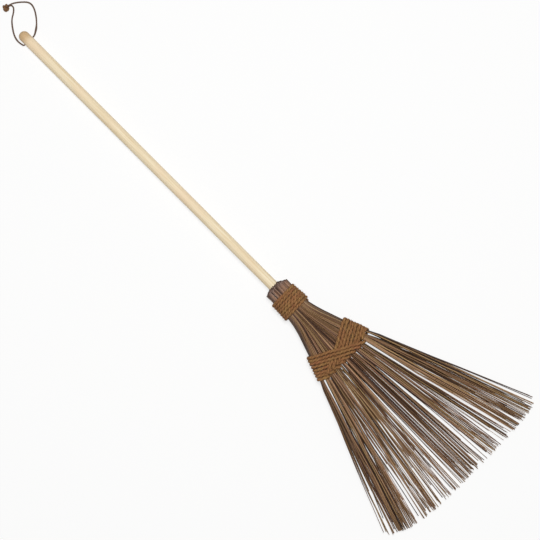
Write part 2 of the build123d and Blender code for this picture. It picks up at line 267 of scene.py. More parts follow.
world = bpy.data.worlds.new("studio")
bpy.context.scene.world = world
world.use_nodes = True
tree = world.node_tree
tree.nodes.clear()
level = add_node(
    tree, "ShaderNodeMapRange", {"Value": seen_directly(tree), "To Min": WORLD_LEVEL, "To Max": 1.0}
)
sky = add_node(tree, "ShaderNodeBackground", {"Strength": level.outputs[0]})
add_node(tree, "ShaderNodeOutputWorld", {"Surface": sky.outputs[0]})

lamp = bpy.data.objects.new("softbox", bpy.data.lights.new("softbox", "AREA"))
bpy.context.scene.collection.objects.link(lamp)
lamp.data.size = LAMP_SIZE
lamp.data.energy = LAMP_POWER
lamp.location = LAMP_PLACE
lamp.rotation_euler = lamp.location.to_track_quat("Z", "Y").to_euler()
bpy.context.scene.view_settings.view_transform = "Standard"
print("lamp of", LAMP_POWER, "W at", LAMP_PLACE, "m")

# %% [markdown]
# ## Twisted cord and rope
# Cord and rope are plies twisted round each other. They could be modelled ply by ply, but the grooves
# between the plies are all that shows. So a rope here is one tube whose ring has a lobe for each ply,
# and the lobes turn as the tube goes on: one turn in each lay length. A fine ripple along the plies
# stands for the fibres, and the depth of the groove is kept as an attribute for the material.

# %% Rope from a path
PLY_CENTRE = 0.3
WANDER = 0.37
FIBRE_WAVES = ((7, 1.0, 3, 1.0), (11, 0.6, 2, 1.7))
SWELLS = ((0.05, 1.9), (0.03, 0.7))


def ply_outline(off_middle):
    """Share of the crest's radius at the angle d from the middle of a ply: c cos d + sqrt(p p - c c sin d
    sin d), for a ply of radius p whose middle is c from the axis. Together c and p are one."""
    across = PLY_CENTRE * np.sin(off_middle)
    return PLY_CENTRE * np.cos(off_middle) + np.sqrt((1 - PLY_CENTRE) ** 2 - across**2)


def twisted_rope(path, reference, radius, plies, lay, sides, ripple, seed):
    """One twisted tube along a path: its ring has the outline of the plies and turns once in each lay. Two
    rows of waves round the ring stand for the fibres, each given by its count, how far it follows the
    twist, and the size and speed of its wandering. Two slow waves, each given by its size and its stretch
    in lays, make the rope swell and thin."""
    rng = np.random.default_rng(seed)
    along = length_along(path)
    turn = 2 * np.pi * np.arange(sides) / sides
    twist = -2 * np.pi * along[:, None] / lay
    ply = 2 * np.pi / plies
    lobe = ply_outline((turn - twist) % ply - ply / 2)
    groove = (1 - lobe) / (1 - ply_outline(ply / 2))
    phase = rng.uniform(0, 2 * np.pi, 4)
    wander = along[:, None] / (WANDER * lay)
    fibres = sum(
        np.sin(count * (turn - follow * twist) + swing * np.sin(speed * wander) + start)
        for (count, follow, swing, speed), start in zip(FIBRE_WAVES, phase[:2])
    )
    swell = 1 + sum(
        size * np.sin(along / (stretch * lay) + start) for (size, stretch), start in zip(SWELLS, phase[2:])
    )
    radii = radius * (lobe * swell[:, None] + ripple * fibres / 2)
    points, faces = tubes(path[None], reference, radii[None])
    return points, faces, {"groove": groove.ravel(), "place": straightened(along, radii, twist)}


print("grooves of two and three plies are", [round(1 - ply_outline(np.pi / n), 2) for n in (2, 3)], "painted_groove")

# %% [markdown]
# ## Soft lines
# A limp cord and a tight lashing both run in soft bends between a few known points. Straight runs and
# arcs could join the points, but a NURBS line rounds every corner by itself. So Blender's own spline is
# made for a moment, read back as points, and removed.

# %% Soft line by a few points
def spline_through(name, route, resolution):
    """A NURBS line with the route's points as its control points, read back as points along it."""
    curve = bpy.data.curves.new(name, "CURVE")
    curve.dimensions = "3D"
    curve.resolution_u = resolution
    spline = curve.splines.new("NURBS")
    spline.points.add(len(route) - 1)
    spline.points.foreach_set("co", np.column_stack([route, np.ones(len(route))]).ravel())
    spline.order_u = 3
    spline.use_endpoint_u = True
    holder = bpy.data.objects.new(name, curve)
    line = bpy.data.meshes.new_from_object(holder)
    points = np.empty(3 * len(line.vertices))
    line.vertices.foreach_get("co", points)
    bpy.data.objects.remove(holder)
    bpy.data.curves.remove(curve)
    bpy.data.meshes.remove(line)
    return points.reshape(-1, 3)


corner = spline_through("corner", np.array([(0, 0, 0), (10, 0, 0), (10, 10, 0)], float), 8)
print("two sides of 10 mm are", length_along(corner)[-1].round(1), "mm with their corner rounded")

# %% [markdown]
# ## Fibrous materials
# Cord, wood, rib and rope are all bundles of fibres, so they share two functions. Streaks could come
# from a picture, but a noise drawn out along the piece needs none and fits every length. The same noise
# gives the colour and the relief. Most of these fibres are finer than a pixel of the whole view. There
# they blend into one tone, and they show from near by.

# %% Streaks and a surface
# Sockets of a Mix node for colours, which share their names: how much, from, to, and the result.
MIX_SHARE, MIX_FROM, MIX_TO, MIX_RESULT = 0, 6, 7, 2


def streaks(tree, place, length, width, detail):
    """A noise drawn out to streaks of this length and width, in the units of the place it reads."""
    drawn = add_node(
        tree, "ShaderNodeMapping", {"Vector": place, "Scale": (1 / length, 1 / width, 1 / width)}
    )
    noise = add_node(
        tree, "ShaderNodeTexNoise", {"Vector": drawn.outputs[0], "Scale": 1.0, "Detail": detail}
    )
    return noise.outputs["Fac"]


def finish_surface(tree, colour, relief, depth, strength, roughness, gloss):
    """The end of a material: a bump from the relief, its depth in millimetres, and a coloured shader."""
    bump = add_node(
        tree, "ShaderNodeBump", {"Height": relief, "Strength": strength, "Distance": depth * MM}
    )
    look = {"Base Color": colour, "Roughness": roughness, "Specular IOR Level": gloss}
    shader = add_node(tree, "ShaderNodeBsdfPrincipled", {**look, "Normal": bump.outputs[0]})
    add_node(tree, "ShaderNodeOutputMaterial", {"Surface": shader.outputs[0]})


PICTURE_PIXELS = 540
print("a pixel of the whole view is", round(VIEW_WIDTH / PICTURE_PIXELS, 2), "mm wide")

# %% [markdown]
# ## Cord material
# The hanging cord is undyed plant fibre that has gone grey-brown with age. One brown would look like
# plastic, so its fibres differ in tone. Its grooves are darkened, which is painted shade. Both follow
# attributes of the cord.

# %% Cord material
# Twisted plant-fibre cord, undyed: matt, with pale and dark fibres along its plies.
FIBRE_WIDTH = 0.35
FIBRE_LENGTH = 5.0
PAINTED_GROOVE_SHADE = 0.6

cord_fibre, tree = new_material("plant_fibre_cord_twisted")
place = add_node(tree, "ShaderNodeAttribute", {}, attribute_name="place").outputs["Vector"]
groove = add_node(tree, "ShaderNodeAttribute", {}, attribute_name="groove").outputs["Fac"]
fibre = streaks(tree, place, FIBRE_LENGTH, FIBRE_WIDTH, detail=3.0)
tone = add_node(tree, "ShaderNodeValToRGB", {"Fac": fibre}, [(0.3, "#513D31"), (0.7, "#826856")])
# Painted shade: the grooves between the plies are darkened towards a dark brown.
painted_groove = add_node(tree, "ShaderNodeMath", {0: groove, 1: PAINTED_GROOVE_SHADE}, operation="MULTIPLY")
colour = add_node(
    tree,
    "ShaderNodeMix",
    {MIX_SHARE: painted_groove.outputs[0], MIX_FROM: tone.outputs["Color"], MIX_TO: linear("#3B2B23")},
    data_type="RGBA",
)
finish_surface(tree, colour.outputs[MIX_RESULT], fibre, depth=0.2, strength=0.5, roughness=0.85, gloss=0.25)
print("cord material", cord_fibre.name)

# %% [markdown]
# ## Routes of the hanging cord
# A thin cord goes through the handle's end, and both its legs run to one knot. A simulation could drop
# it, but then it would lie by chance. So each leg is a cord of its own here, on a route from the hole to
# the knot where the real one lies. Its points are given back from the hole, across, and above the floor.

# %% Routes of the two legs
HOLE = np.array(frame["joints"][0]["pos_m"]) / MM
HANDLE_RADIUS = 12.0

LEFT_LEG = [
    (0, 0, HOLE[2]),
    (0, -HANDLE_RADIUS - 2.5, HOLE[2]),
    (6.3, -HANDLE_RADIUS - 4.5, 11.6),
    (18, -18.3, 8.4),
    (33, -15, 4.4),
    (50, -4.5, 1.9),
    (63.5, 7, 1.4),
    (71, 20.5, 1.4),
    (79.5, 29.5, 1.7),
    (88, 28, 3.2),
    (89, 20, 4.0),
]
RIGHT_LEG = [
    (0, 0, HOLE[2]),
    (0, HANDLE_RADIUS + 3.5, HOLE[2]),
    (3.5, HANDLE_RADIUS + 10.5, 11.6),
    (12, 35, 8.2),
    (28, 49.5, 3.8),
    (47, 60.8, 1.7),
    (62.5, 62, 1.4),
    (76, 49, 2.2),
    (85, 36.5, 5.0),
    (89.5, 25, 7.3),
    (90, 19, 7.7),
]


def beside_hole(places):
    """Points given back from the hole, across and above the floor, as points of the frame."""
    back, side, height = np.array(places, float).T
    return np.stack([HOLE[0] - back, side, height], axis=1)


print("routes start from the hole at", HOLE.round(1), "mm")

# %% [markdown]
# ## Legs of the hanging cord
# The cord is three plies twisted together, drawn thin in its hole and full beyond it. It lies in soft
# curves, as limp cord does, so the route's points are the control points of a soft line. Near the handle
# the right leg has a short thick stretch, where an end of the cord is worked back between its plies.

# %% Both legs of the cord
CREST_IN_HOLE = 1.68
CORD_CREST = 1.9
CORD_PLIES = 3
CORD_LAY = 7.0
CORD_SIDES = 12
CORD_RIPPLE = 0.05
CORD_STEPS = 32
SPLICE_PLACE = 32.0
SPLICE_REACH = 8.0
SPLICE_SWELL = 0.32


def leg_crest(along, splice):
    """Crest radius along a leg: drawn thin in the hole, full beyond it, and swelling like a bell curve
    at the worked-in end."""
    own = np.interp(along, [HANDLE_RADIUS, HANDLE_RADIUS + 2 * CORD_CREST], [CREST_IN_HOLE, CORD_CREST])
    off_splice = (along - SPLICE_PLACE) / SPLICE_REACH
    return (own * (1 + splice * np.exp(-(off_splice**2))))[:, None]


cord_legs = []
for name, route, splice, seed in (
    ("hanging_cord_left", LEFT_LEG, 0.0, 11),
    ("hanging_cord_right", RIGHT_LEG, SPLICE_SWELL, 12),
):
    line = spline_through(name, beside_hole(route), CORD_STEPS)
    along = length_along(line)
    points, faces, attributes = twisted_rope(
        line, (0, 0, 1), leg_crest(along, splice), CORD_PLIES, CORD_LAY, CORD_SIDES, CORD_RIPPLE, seed
    )
    leg = add_piece(name, "hanging_loop", cord_fibre, points, faces, attributes)
    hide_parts("hanging_cord")
    cord_legs.append((leg, line, along[-1]))
    print(name, "length", round(along[-1], 1), "mm")

# %% [markdown]
# ## Knot
# The two legs end in one lump, an overhand knot. Such a knot is a trefoil: a line that goes twice round
# a ring while it goes three times round the ring's tube. It could be laid by hand, turn by turn, but the
# trefoil has a formula. The doubled cord follows it as a thick twisted rope, drawn tight into a lump.

# %% Knot
# The same cord, browner where it was handled and waxed, with a warm brown crest. Painted shade darkens its
# folds.
knot_fibre = cord_fibre.copy()
knot_fibre.name = "plant_fibre_cord_knotted"
ramp = next(node for node in knot_fibre.node_tree.nodes if node.type == "VALTORGB").color_ramp
ramp.elements[0].color = linear("#5C3A20")
ramp.elements[1].color = linear("#A67C54")

KNOT_PLACE = beside_hole([(90, 16, 6.9)])[0]
KNOT_LOWEST = 0.2
KNOT_RING = 4.0
KNOT_TUBE = 2.6
KNOT_CREST = 2.8
KNOT_LAY = 10.0
KNOT_STEPS = 240
KNOT_FOLDS = (0.45, 0.8)
PAINTED_FOLD_SHADE = 1.3
knot_axis = unit(np.array([0.55, 0.65, 0.5]))
knot_side, knot_up = square_to(knot_axis, np.array([0.0, 0.0, 1.0]))


def trefoil(count):
    """Trefoil line: at phase f it is R + r cos 3f from the axis, r sin 3f along it and turned by 2f."""
    phase = np.linspace(0, 2 * np.pi, count)[:, None]
    out = KNOT_RING + KNOT_TUBE * np.cos(3 * phase)
    flat = out * (np.cos(2 * phase) * knot_side + np.sin(2 * phase) * knot_up)
    return KNOT_PLACE + flat + KNOT_TUBE * np.sin(3 * phase) * knot_axis


points, faces, attributes = twisted_rope(
    trefoil(KNOT_STEPS), knot_axis, KNOT_CREST, CORD_PLIES, KNOT_LAY, CORD_SIDES, CORD_RIPPLE, seed=13
)
# Painted shade in the folds: the knot darkens towards its middle, on top of the grooves' painted shade.
from_centre = np.linalg.norm(points - KNOT_PLACE, axis=1)
painted_fold = PAINTED_FOLD_SHADE * (1 - np.interp(from_centre / from_centre.max(), KNOT_FOLDS, (0, 1)))
attributes["groove"] = np.maximum(attributes["groove"], painted_fold)
points[:, 2] = np.maximum(points[:, 2], KNOT_LOWEST)
knot = add_piece("cord_knot_tied", "hanging_loop", knot_fibre, points, faces, attributes)
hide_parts("cord_knot")
print("knot", np.ptp(points, axis=0).round(1), "mm")

# %% [markdown]
# ## Limp legs
# The legs are limp cord. The knot goes with both legs, as all three hang from the same body.

# %% Legs and their knot
for leg, line, length in cord_legs:
    print(leg.name, "is limp and goes with", knot.name)

# %% [markdown]
# ## Handle
# The handle is a turned stick of pale wood, sanded and left bare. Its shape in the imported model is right,
# so the node stays and only gets a material. The grain could be a picture of wood, but a noise drawn out
# some seventy times longer than it is wide looks the same and has no seam. Broad soft patches shift the
# colour between pink and yellow.

# %% Grain of the handle
# Bare softwood, turned and sanded: matt, pale yellow, with faint long grain and a darker cut end.
GRAIN_WIDTH = 2.2
GRAIN_LENGTH = 160.0
PATCH_SIZE = 70.0
PATCH_LIMITS = (0.45, 0.75)
PATCH_SHADE = 0.6

handle_wood, tree = new_material("softwood_turned_sanded")
place = add_node(tree, "ShaderNodeTexCoord", {}).outputs["Object"]
grain = streaks(tree, place, GRAIN_LENGTH * MM, GRAIN_WIDTH * MM, detail=4.0)
tone = add_node(tree, "ShaderNodeValToRGB", {"Fac": grain}, [(0.3, "#E0C9A0"), (0.7, "#F2E4C6")])
patch = add_node(
    tree, "ShaderNodeTexNoise", {"Vector": place, "Scale": 1 / (PATCH_SIZE * MM), "Detail": 1.0}
)
pink = add_node(
    tree,
    "ShaderNodeMapRange",
    {
        "Value": patch.outputs["Fac"],
        "From Min": PATCH_LIMITS[0],
        "From Max": PATCH_LIMITS[1],
        "To Max": PATCH_SHADE,
    },
)
warm = add_node(
    tree,
    "ShaderNodeMix",
    {MIX_SHARE: pink.outputs[0], MIX_FROM: tone.outputs["Color"], MIX_TO: linear("#ECD3B2")},
    data_type="RGBA",
)
print("handle material", handle_wood.name)

# %% [markdown]
# ## Darker end
# The stick is darker towards its domed end. A second material could colour it, but its edge would be
# hard, so the darker tone fades in along the last of the stick.

# %% Darker end of the handle
DARK_END_REACH = 30.0
DARK_END_SHADE = 0.75

handle_low, handle_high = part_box("handle")
apart = add_node(tree, "ShaderNodeSeparateXYZ", {"Vector": place})
end = add_node(
    tree,
    "ShaderNodeMapRange",
    {
        "Value": apart.outputs["X"],
        "From Min": handle_low[0] + DARK_END_REACH * MM,
        "From Max": handle_low[0] + DARK_END_REACH * MM / 2,
        "To Max": DARK_END_SHADE,
    },
)
colour = add_node(
    tree,
    "ShaderNodeMix",
    {MIX_SHARE: end.outputs[0], MIX_FROM: warm.outputs[MIX_RESULT], MIX_TO: linear("#C19C6C")},
    data_type="RGBA",
)
finish_surface(tree, colour.outputs[MIX_RESULT], grain, depth=0.3, strength=0.25, roughness=0.6, gloss=0.3)
handle_mesh = frame["nodes"]["handle"].data
handle_mesh.materials.clear()
handle_mesh.materials.append(handle_wood)
print("handle from", tuple(handle_low), "to", tuple(handle_high))

# %% [markdown]
# ## The lines the ribs follow
# Each rib starts at the rim round the handle, passes under the binding, and is spread by the lashing on
# its way to the tips. Stations are distances along the broom from the handle's domed end. Up to the end
# of the neck a rib follows the handle, which rises gently; beyond it the fan comes down to the floor.
# The real head stands a little to the right of the handle's line. Straight runs between a few measured
# stations are all that these lines need.

# %% Lines of the neck and the fan
START = handle_low[0] / MM
HANDLE_SLOPE = math.radians(1.583)
RIM = 801.0
RIM_DOME = 8.0
RIM_RADIUS = 27.8
NECK_START = 817.0
NECK_END = 874.5
NECK_RADII = (27.2, 30.2)
LASHING = 1012.0
TIPS = 1400.0
FAN_HALF_AT_LASHING = 77.5
FAN_HALF_THICKNESS = 15.0
FAN_HEIGHTS = (35.8, 31.0, 10.5)
HEAD_SHIFTS = (0.3, 1.0, 2.0, 0.0)


def on_handle(station, y, z):
    """Point beside the handle: the station runs along its sloping axis, z stands square to it."""
    from_dome = station - HANDLE_RADIUS
    x = START + HANDLE_RADIUS + from_dome * math.cos(HANDLE_SLOPE) - z * math.sin(HANDLE_SLOPE)
    height = HANDLE_RADIUS + from_dome * math.sin(HANDLE_SLOPE) + z * math.cos(HANDLE_SLOPE)
    return np.stack(np.broadcast_arrays(x, y, height), axis=-1)


def neck_radius(station):
    """Outer radius of the bound ribs: a straight taper under the binding, flaring back to the rim."""
    return np.interp(station, [RIM, NECK_START, NECK_END], [RIM_RADIUS, *NECK_RADII])


def fan_height(station):
    """Height of the fan's middle: straight from the neck to the lashing, and on to the tips."""
    return np.interp(station, [NECK_END, LASHING, TIPS], FAN_HEIGHTS)


def fan_half_thickness(station):
    """Half the fan's thickness: from the neck's radius down to the flat fan, then even."""
    return np.interp(station, [NECK_END, LASHING], [NECK_RADII[1], FAN_HALF_THICKNESS])


def head_shift(station):
    """How far the head stands to the right of the handle's line: most at the lashing, none at the tips."""
    return np.interp(station, [RIM, NECK_END, LASHING, TIPS], HEAD_SHIFTS)


print("neck ends at height", on_handle(NECK_END, 0, 0)[2].round(1), "mm")

# %% [markdown]
# ## Ribs round the handle
# The binding presses the ribs into a round bundle with the handle in its middle. Places drawn by chance
# would overlap, so the ribs stand in rings, one rib apart, with a little disorder. Each ring is turned on
# by the golden section of a turn, so that no seam goes on from ring to ring.

# %% Places at the neck
RIB_AT_NECK = 2.5
NECK_RINGS = 7
NECK_JITTER = 0.12
GOLDEN_STEP = 0.618034
RIB_SEED = 5
rng = np.random.default_rng(RIB_SEED)


def numbered(counts):
    """Numbers 0, 1, 2 and on within each group, for groups of these sizes one after another."""
    return np.arange(counts.sum()) - np.repeat(np.cumsum(counts) - counts, counts)


rings = np.arange(NECK_RINGS)
ring_radii = NECK_RADII[1] - RIB_AT_NECK / 2 - RIB_AT_NECK * rings
ring_counts = np.floor(2 * np.pi * ring_radii / RIB_AT_NECK).astype(int)
ribs = ring_counts.sum()
ring_turn = numbered(ring_counts) / np.repeat(ring_counts, ring_counts)
ring_turn += GOLDEN_STEP * np.repeat(rings, ring_counts)
neck_r = np.repeat(ring_radii, ring_counts) + rng.normal(0, NECK_JITTER, ribs)
neck_y = neck_r * np.cos(2 * np.pi * ring_turn)
neck_z = neck_r * np.sin(2 * np.pi * ring_turn)
print(ribs, "ribs in rings of", ring_counts)

# %% [markdown]
# ## Ribs under the lashing
# The crossed lashing parts the ribs into nine bundles, each with an upper and a lower half, and every half
# is one piece here. Places given by chance would make the ribs cross. So in a half, the ribs furthest out
# at the neck become the outer row at the lashing, and within a row they keep their order across. Towards
# its edges the fan grows thinner.

# %% Places at the lashing
RIB_AT_LASHING = 2.6
BUNDLES = 9
CHANNEL_PITCH = 15.0
CHANNEL_CLEARANCE = 0.1
SLICE_AT_NECK = 4.2
FRONT, BACK = 1, -1
JITTER_ACROSS = 0.6
JITTER_UP = 0.7
ROW_SPAN = 0.92
EDGE_FALL = 5.0
EDGE_FALL_FROM = 66.0
EDGE_FALL_RUN = 13.0


def share_past(values, start, run):
    """Zero up to the start, then straight up to one at the end of the run."""
    return np.clip((values - start) / run, 0, 1)


from_middle = np.arange(BUNDLES - 1) - (BUNDLES - 2) / 2
channels = CHANNEL_PITCH * from_middle
bundle = np.searchsorted(SLICE_AT_NECK * from_middle, neck_y)
face = np.where(neck_z > 0, FRONT, BACK)
bundle_low = np.concatenate([[-FAN_HALF_AT_LASHING], channels + CHANNEL_CLEARANCE])
bundle_high = np.concatenate([channels - CHANNEL_CLEARANCE, [FAN_HALF_AT_LASHING]])

row = np.zeros(ribs)
last_row = np.zeros(ribs)
across = np.zeros(ribs)
for number in range(BUNDLES):
    for side in (FRONT, BACK):
        members = np.flatnonzero((bundle == number) & (face == side))
        columns = int((bundle_high[number] - bundle_low[number]) / RIB_AT_LASHING)
        outer_first = members[np.argsort(-np.abs(neck_z[members]))]
        rows = np.arange(len(members)) // columns
        in_order = outer_first[np.lexsort((neck_y[outer_first], rows))]
        filled = np.bincount(rows)
        row[in_order] = rows
        last_row[in_order] = rows[-1]
        across[in_order] = (numbered(filled) + 0.5) / filled[rows]
lashing_y = bundle_low[bundle] + across * (bundle_high - bundle_low)[bundle]
lashing_y += rng.normal(0, JITTER_ACROSS, ribs)
depth = row / np.maximum(last_row, 1)
edge_fall = EDGE_FALL * share_past(np.abs(lashing_y), EDGE_FALL_FROM, EDGE_FALL_RUN) ** 2
top_row = FAN_HALF_THICKNESS - RIB_AT_LASHING / 2 - edge_fall
lashing_z = top_row * (1 - ROW_SPAN * depth) + rng.normal(0, JITTER_UP, ribs)
print(np.sum((bundle > 0) & (bundle < BUNDLES - 1)), "of the ribs are in the inner bundles")

# %% [markdown]
# ## Gaps between the tips
# Towards the tips the ribs gather in clumps with bare gaps between them. Several hundred ribs are too
# many to place by hand, and pure chance gives no clumps. So a density across the fan is lowered at each
# gap. The broad gaps, given as places and widths, and one dense stretch are those of the real broom, and
# fine gaps come by chance.

# %% Density across the tips
TIP_REACH = (-226.0, 239.0)
TIP_GAPS = [
    (-213, 7), (-196, 4), (-140, 8), (-106, 7), (-85, 5), (-73, 6), (-61, 4), (-42, 4), (-18, 6), (51, 3),
    (72, 6), (83, 4), (123, 6), (137, 3), (148, 4), (159, 5), (177, 3), (199, 3), (223, 4),
]
FINE_GAPS = 46
FINE_GAP_WIDTHS = (1.0, 4.2)
TIP_WIDTH = 1.6
GAP_SPAN = 0.48
GAP_DEPTH = 0.97
DENSE_TIPS = (-6.0, 47.0)
DENSE_GAIN = 1.45
DENSE_GAP_DEPTH = 0.3
EDGE_MARGIN = 12.0
EDGE_DENSITY = 0.12
TIP_STEPS = 1200


def within(values, limits):
    """True for values between the two limits."""
    return (values > limits[0]) & (values < limits[1])


reach = np.linspace(*TIP_REACH, TIP_STEPS)
gap_places, gap_widths = np.array(TIP_GAPS, float).T
gap_places = np.append(gap_places, rng.uniform(*TIP_REACH, FINE_GAPS))
gap_widths = np.append(gap_widths, rng.uniform(*FINE_GAP_WIDTHS, FINE_GAPS)) + TIP_WIDTH
off_gap = np.abs(reach[:, None] - gap_places) / (GAP_SPAN * gap_widths)
in_gaps = np.exp(-(off_gap**4)).max(axis=1)
in_dense = within(reach, DENSE_TIPS)
in_middle = within(reach, (TIP_REACH[0] + EDGE_MARGIN, TIP_REACH[1] - EDGE_MARGIN))
density = 1 - np.where(in_dense, DENSE_GAP_DEPTH, GAP_DEPTH) * in_gaps
density *= np.where(in_middle, 1, EDGE_DENSITY)
density *= np.where(in_dense, DENSE_GAIN, 1)
print("density from", density.min().round(2), "to", density.max().round(2))

# %% [markdown]
# ## Clumps of tips
# A rib's place at the tips is where the running sum of the density reaches the rib's rank. The order
# across is kept, so the ribs don't cross, the clumps are dense and the gaps stay almost empty. Each part
# of the fan keeps as many ribs as an even spread would give it, or the dense stretch would draw in ribs
# from far away.

# %% Places across the tips
EVEN_REACH = (-214.0, 0.0, 235.0)
TIP_PARTS = (-150.0, -75.0, 0.0, 75.0, 150.0)

even_y = np.interp(lashing_y, (-FAN_HALF_AT_LASHING, 0, FAN_HALF_AT_LASHING), EVEN_REACH)
part = np.searchsorted(TIP_PARTS, reach)
wanted = np.bincount(np.searchsorted(TIP_PARTS, even_y), minlength=len(TIP_PARTS) + 1)
density *= (wanted / np.bincount(part, density))[part]
running = np.cumsum(density) / density.sum()
rank = np.argsort(np.argsort(lashing_y))
tip_y = np.interp((rank + 0.5) / ribs, running, reach)
clump = np.searchsorted(np.sort(gap_places), tip_y)
clumps = clump.max() + 1
print(clumps, "clumps, ribs for each part of the fan", wanted)

# %% [markdown]
# ## Loose and settled ribs
# The tips end on a line that is measured on the real broom, a table of places across and stations, and
# they are ragged. Some ribs stray from their clump, and some are shorter. The ribs beside the two long
# slits and in the dense stretch are settled: they stray little, or the slits would close again.

# %% Ends of the ribs
LONG_SLITS = (-66.0, 50.5)
LONG_SLIT_REACH = 8.0
SETTLED_STRAY = 0.3
STRAY_SHARE = 0.34
STRAY = 6.0
TIP_JITTER = 0.9
TIP_LINE = [
    (-222, 1358), (-207, 1370), (-157, 1393), (-122, 1399), (-21, 1403),
    (121, 1401), (202, 1396), (229, 1387), (241, 1365),
]
RAGGED = 5.0
RAGGED_LIMIT = 30.0
SHORTER_SHARE = 0.3
SHORTER_BY = (5.0, 140.0)
TIP_ROW_SPAN = 0.9
TIP_HALF_THICKNESS = 8.5
TIP_JITTER_UP = 1.0
TIP_LOWEST = 0.8


def from_table(places, table):
    """Values at these places, on straight runs between the rows of a table of places and values."""
    return np.interp(places, *np.array(table, float).T)


stray = rng.random(ribs) < STRAY_SHARE
by_slit = np.abs(lashing_y[:, None] - LONG_SLITS).min(axis=1) < LONG_SLIT_REACH
loose = np.where(by_slit | within(tip_y, DENSE_TIPS), SETTLED_STRAY, 1)
tip_y += loose * (stray * rng.normal(0, STRAY, ribs) + rng.normal(0, TIP_JITTER, ribs))
full_station = from_table(tip_y, TIP_LINE)
shorter = rng.random(ribs) < SHORTER_SHARE
tip_station = full_station - np.minimum(rng.exponential(RAGGED, ribs), RAGGED_LIMIT)
tip_station -= loose * shorter * rng.uniform(*SHORTER_BY, ribs)
tip_z = FAN_HEIGHTS[2] + face * (1 - TIP_ROW_SPAN * depth) * TIP_HALF_THICKNESS
tip_z = np.maximum(tip_z + rng.normal(0, TIP_JITTER_UP, ribs), TIP_LOWEST)
print("tips from", tip_y.min().round(1), "to", tip_y.max().round(1), "mm")

# %% [markdown]
# ## Rib paths in the neck
# A rib is a thin tapering stick, so it needs only a few rings, close together where the lashing bends
# it. A path gives a sideways place and a height at each ring's station. All ribs are worked out at once,
# one row each. In the neck they lie along the handle, with their cut ends in a low dome round it. On the
# right the outer ends lean out and stand a little lower than the rest of the rim.

# %% Stations and the neck
DIVE = 1019.5
STATIONS = [NECK_START - 2, NECK_END - 2, 889, 909, 940, 1003, DIVE, 1037, 1070, 1110]
TAIL_SHARES = [0.17, 0.36, 0.56, 0.77, 1.0]
RIM_JITTER = 0.8
LEAN_FROM = 16.0
LEAN_RUN = 6.0
LEAN_DOWN = 3.4
LEAN_OUT = 3.6

rim_station = RIM - RIM_DOME * (1 - (neck_r / RIM_RADIUS) ** 2) + rng.normal(0, RIM_JITTER, ribs)
lean = share_past(neck_y, LEAN_FROM, LEAN_RUN)
rim_station += LEAN_DOWN * lean
tail_stations = STATIONS[-1] + np.outer(tip_station - STATIONS[-1], TAIL_SHARES)
stations = np.column_stack([rim_station, np.tile(STATIONS, (ribs, 1)), tail_stations])

neck_part = np.minimum(stations, NECK_END)
spread = neck_radius(neck_part) / NECK_RADII[1]
in_neck = on_handle(neck_part, neck_y[:, None] * spread, neck_z[:, None] * spread)
in_neck[:, :2, 1] += LEAN_OUT * lean[:, None]
print("each rib has", stations.shape[1], "rings")

# %% [markdown]
# ## Rib paths across the fan
# From the neck to the lashing a rib swings outward. Straight runs would kink there, so it follows a
# cubic curve that is given its slope at both ends: the flare at the neck, more on the right, and the way
# to the tips at the lashing. Beyond the lashing the clumps and gaps open late, so the step from the even
# spread to the rib's own place grows faster than the distance. Clumps and single ribs also bow a little.

# %% Sideways places in the fan
FLARES_AT_NECK = (0.005, 0.0078)
LATE_GAPS = 1.5
CLUMP_BOW = 1.8
RIB_BOW = 0.9
STRAY_BOW = 4.0
RIB_WAVE = 0.9

fan_run = LASHING - NECK_END
tail_run = (full_station - LASHING)[:, None]
fan_share = share_past(stations, NECK_END, fan_run)
tail_share = share_past(stations, LASHING, tail_run)
flare = np.interp(neck_y, (-NECK_RADII[1], NECK_RADII[1]), FLARES_AT_NECK)
start_slope = (flare * fan_run * neck_y)[:, None]
end_slope = fan_run * (tip_y - lashing_y)[:, None] / tail_run
fan_y = (
    (2 * fan_share**3 - 3 * fan_share**2 + 1) * neck_y[:, None]
    + (fan_share**3 - 2 * fan_share**2 + fan_share) * start_slope
    + (3 * fan_share**2 - 2 * fan_share**3) * lashing_y[:, None]
    + (fan_share**3 - fan_share**2) * end_slope
)
fan_y += tail_share * (even_y - lashing_y)[:, None]
fan_y += tail_share**LATE_GAPS * (tip_y - even_y)[:, None]
bow = rng.normal(0, RIB_BOW, ribs) + (rng.random(ribs) < STRAY_SHARE) * rng.normal(0, STRAY_BOW, ribs)
bow += rng.normal(0, CLUMP_BOW, clumps)[clump]
fan_y += (loose * bow)[:, None] * np.sin(np.pi * tail_share)
fan_y += loose[:, None] * rng.normal(0, RIB_WAVE, (ribs, 1)) * np.sin(2 * np.pi * tail_share)
print("bows of up to", np.abs(loose * bow).max().round(1), "mm")

# %% [markdown]
# ## Slits
# Where the rope dives through the fan it wedges the ribs apart, and further down more slits open by
# chance. Ribs could be left out there, but then they would end in the air. So each slit pushes its
# neighbours aside, the nearest most: it opens quickly before its station and closes slowly after it. In
# the dense stretch the chance slits stay shut. The tight rope also draws the fan's edges in.

# %% Slits and edges
# Each slit at a dive: its place at the lashing, its width, and how slowly it closes.
DIVE_SLITS = [
    (LONG_SLITS[0], 6.4, 90), (channels[0], 4.6, 10), (channels[1], 4.4, 8), (channels[2], 7.0, 80),
    (channels[3], 4.6, 20), (channels[4], 4.2, 5), (channels[5], 4.8, 30), (channels[6], 4.4, 8),
    (LONG_SLITS[1], 6.6, 200), (71, 7.2, 120),
]
DIVE_SLIT_OPENS = 12.0
FREE_SLITS = 36
FREE_SLIT_WIDTHS = (2.6, 4.6)
FREE_SLIT_CLOSES = (30.0, 90.0)
FREE_SLIT_OPENS = 45.0
FREE_SLIT_STATIONS = (1050.0, 1310.0)
DENSE_AT_LASHING = (-4.0, 21.0)
SHUT_WIDTH = 0.1
PUSH_REACH = 4.5
EDGE_DRAW = 3.0
RIB_DRAW = 1.2 * EDGE_DRAW
DRAW_FROM = 55.0
DRAW_RUN = 22.0
DRAW_STATION = 995.0
DRAW_REACH = 28.0

